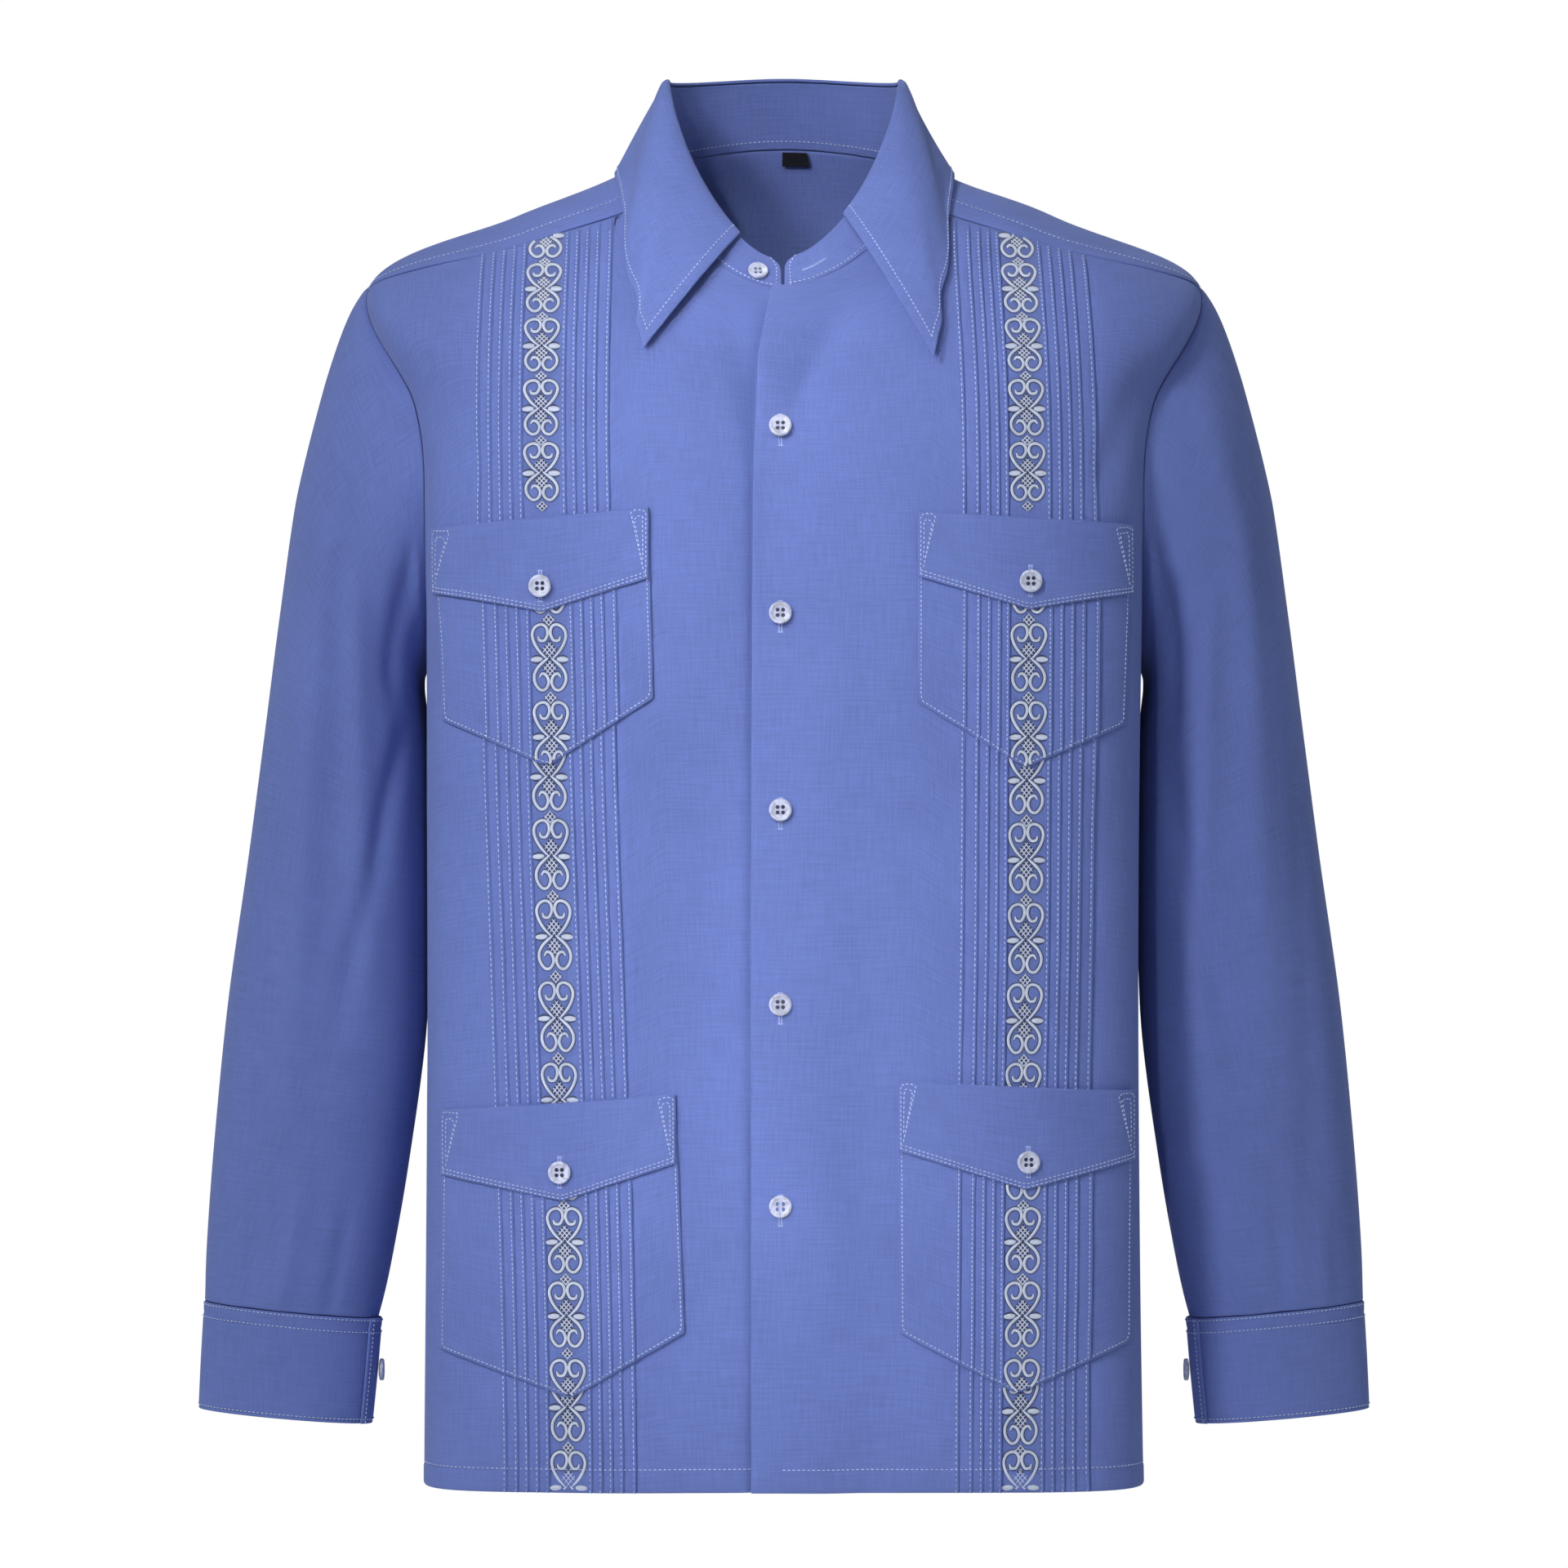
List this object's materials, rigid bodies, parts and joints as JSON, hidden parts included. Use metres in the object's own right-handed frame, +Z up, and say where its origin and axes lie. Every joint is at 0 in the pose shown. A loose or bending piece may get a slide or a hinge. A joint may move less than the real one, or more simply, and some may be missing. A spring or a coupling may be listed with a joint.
{
  "type": "guayabera shirt",
  "caption": "Long-sleeved guayabera shirt, worn and filled out with no wearer, with pleated and embroidered fronts, patch pockets and an open turn-down collar.",
  "frame": {"origin": "midway between the two neck ends of the shoulder line, where the wearer's shoulders carry the shirt", "axes": "+Z up, -Y towards the front of the wearer, +X to the wearer's left"},
  "size_m": [0.6616, 0.2404, 0.7966],
  "materials": {
    "cloth": "matte",
    "buttons": "gloss",
    "label": "matte"
  },
  "bodies": {
    "root": {"front_left": "cloth", "front_right": "cloth", "back_panel": "cloth", "yoke": "cloth", "collar_stand": "cloth", "collar_fall": "cloth", "sleeve_left": "cloth", "sleeve_right": "cloth", "cuff_left": "cloth", "cuff_right": "cloth", "pocket_upper_left": "cloth", "pocket_upper_right": "cloth", "pocket_lower_left": "cloth", "pocket_lower_right": "cloth", "pocket_band_upper_left": "cloth", "pocket_band_upper_right": "cloth", "pocket_band_lower_left": "cloth", "pocket_band_lower_right": "cloth", "button_front_1": "buttons", "button_front_2": "buttons", "button_front_3": "buttons", "button_front_4": "buttons", "button_front_5": "buttons", "button_collar": "buttons", "button_pocket_upper_left": "buttons", "button_pocket_upper_right": "buttons", "button_pocket_lower_left": "buttons", "button_pocket_lower_right": "buttons", "button_cuff_left": "buttons", "button_cuff_right": "buttons", "size_label": "label"}
  },
  "joints": []
}
